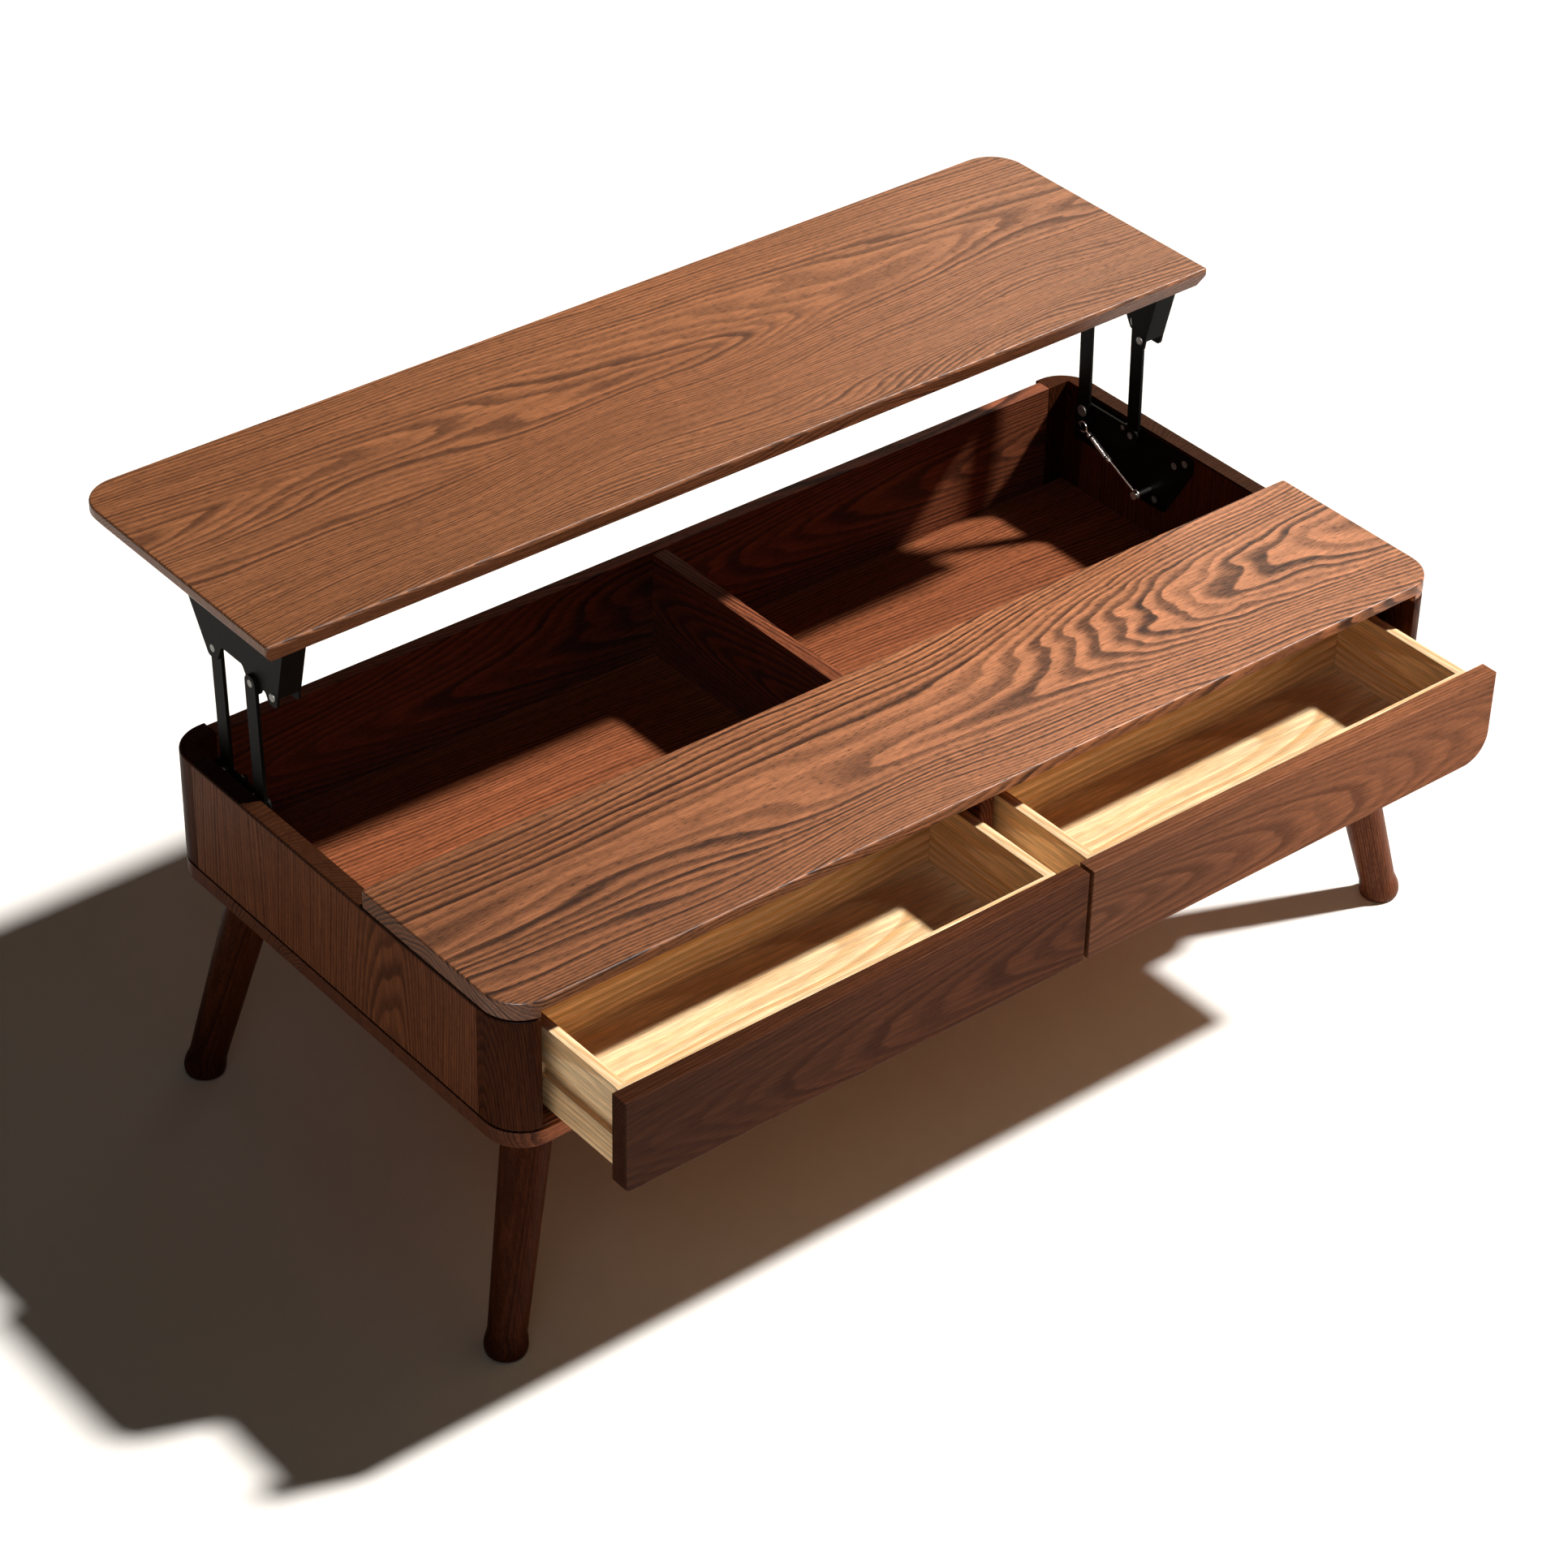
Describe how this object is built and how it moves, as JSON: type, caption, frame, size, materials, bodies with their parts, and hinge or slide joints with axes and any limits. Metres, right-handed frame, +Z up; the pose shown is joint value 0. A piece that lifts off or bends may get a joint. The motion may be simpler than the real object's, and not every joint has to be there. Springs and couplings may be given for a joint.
{
  "type": "lift top coffee table",
  "caption": "Dark wood coffee table on splayed round legs: the rear of the top lifts on sprung parallel arms over a divided storage well, with drawers under the fixed front.",
  "frame": {"origin": "on the floor, at the middle of the length and midway between the faces of the part-open drawers and the rear edge of the raised top", "axes": "+X along the length towards the right-hand end seen from the drawers, +Y from the drawers towards the lifting top, +Z up"},
  "size_m": [1.2314, 0.8392, 0.6258],
  "materials": {
    "walnut_top": "satin",
    "walnut_case": "satin",
    "walnut_inner": "satin",
    "walnut_drawer": "satin",
    "walnut_leg": "satin",
    "pine": "matte",
    "black_steel": "semi-gloss",
    "zinc": "satin",
    "spring_steel": "polished",
    "glide_plastic": "matte"
  },
  "bodies": {
    "case": {"fixed_top": "walnut_top", "side_panel_left": "walnut_case", "side_panel_right": "walnut_case", "corner_post_front_left": "walnut_case", "corner_post_front_right": "walnut_case", "corner_post_rear_left": "walnut_case", "corner_post_rear_right": "walnut_case", "back_panel": "walnut_case", "base_board": "walnut_case", "storage_wall": "walnut_inner", "storage_divider": "walnut_inner", "drawer_partition": "walnut_inner", "leg_front_left": "walnut_leg", "leg_front_right": "walnut_leg", "leg_rear_left": "walnut_leg", "leg_rear_right": "walnut_leg", "runner_outer_left": "pine", "runner_outer_right": "pine", "runner_inner_left": "pine", "runner_inner_right": "pine", "base_plate_left": "black_steel", "spring_rod_left": "spring_steel", "base_plate_right": "black_steel", "spring_rod_right": "spring_steel", "base_plate_screws": "zinc", "base_pivot_rivets": "zinc", "stop_pins": "zinc", "spring_anchor_pins": "zinc", "leg_bolts": "zinc", "foot_glides": "glide_plastic"},
    "lift_top": {"lift_top": "walnut_top", "bracket_left": "black_steel", "bracket_right": "black_steel", "bracket_screws": "zinc", "bracket_rivets": "zinc"},
    "arm_rear_left": {"arm_rear_left": "black_steel"},
    "arm_rear_right": {"arm_rear_right": "black_steel"},
    "arm_front_left": {"arm_front_left": "black_steel"},
    "arm_front_right": {"arm_front_right": "black_steel"},
    "spring_hook_left": {"spring_hook_left": "spring_steel", "spring_coil_left": "spring_steel"},
    "spring_hook_right": {"spring_hook_right": "spring_steel", "spring_coil_right": "spring_steel"},
    "drawer_left": {"drawer_left_front": "walnut_drawer", "drawer_left_inner_board": "pine", "drawer_left_side_outer": "pine", "drawer_left_side_inner": "pine", "drawer_left_back": "pine", "drawer_left_bottom": "pine", "drawer_left_screws": "zinc"},
    "drawer_right": {"drawer_right_front": "walnut_drawer", "drawer_right_inner_board": "pine", "drawer_right_side_outer": "pine", "drawer_right_side_inner": "pine", "drawer_right_back": "pine", "drawer_right_bottom": "pine", "drawer_right_screws": "zinc"}
  },
  "joints": [
    {"name": "lift", "type": "hinge", "parent": "case", "child": "arm_rear_left", "pos_m": [-0.567, 0.2165, 0.395], "axis": [1, 0, 0], "range_deg": [0, 114], "stiffness_Nm_per_rad": 2.2, "springref_deg": -40.11},
    {"name": "lift_top_level", "type": "hinge", "parent": "arm_rear_left", "child": "lift_top", "pos_m": [-0.567, 0.22147, 0.53741], "axis": [1, 0, 0], "range_deg": [-114, 0]},
    {"name": "arm_rear_right_swing", "type": "hinge", "parent": "case", "child": "arm_rear_right", "pos_m": [0.567, 0.2165, 0.395], "axis": [1, 0, 0], "range_deg": [0, 114]},
    {"name": "arm_front_left_swing", "type": "hinge", "parent": "case", "child": "arm_front_left", "pos_m": [-0.575, 0.1445, 0.395], "axis": [1, 0, 0], "range_deg": [0, 114]},
    {"name": "arm_front_right_swing", "type": "hinge", "parent": "case", "child": "arm_front_right", "pos_m": [0.575, 0.1445, 0.395], "axis": [1, 0, 0], "range_deg": [0, 114]},
    {"name": "spring_hook_left_swing", "type": "hinge", "parent": "arm_rear_left", "child": "spring_hook_left", "pos_m": [-0.5575, 0.20877, 0.38214], "axis": [1, 0, 0], "range_deg": [-114, 0], "deforming": ["spring_coil_left"]},
    {"name": "spring_hook_right_swing", "type": "hinge", "parent": "arm_rear_right", "child": "spring_hook_right", "pos_m": [0.5575, 0.20877, 0.38214], "axis": [1, 0, 0], "range_deg": [-114, 0], "deforming": ["spring_coil_right"]},
    {"name": "drawer_left_slide", "type": "slide", "parent": "case", "child": "drawer_left", "axis": [0, 1, 0], "range_m": [-0.03, 0.1221]},
    {"name": "drawer_right_slide", "type": "slide", "parent": "case", "child": "drawer_right", "axis": [0, 1, 0], "range_m": [-0.03, 0.1221]}
  ],
  "couplings": [
    {"joint": "lift_top_level", "follows": "lift", "ratio": -1},
    {"joint": "arm_rear_right_swing", "follows": "lift", "ratio": 1},
    {"joint": "arm_front_left_swing", "follows": "lift", "ratio": 1},
    {"joint": "arm_front_right_swing", "follows": "lift", "ratio": 1},
    {"joint": "spring_hook_left_swing", "follows": "lift", "ratio": -1},
    {"joint": "spring_hook_right_swing", "follows": "lift", "ratio": -1}
  ]
}
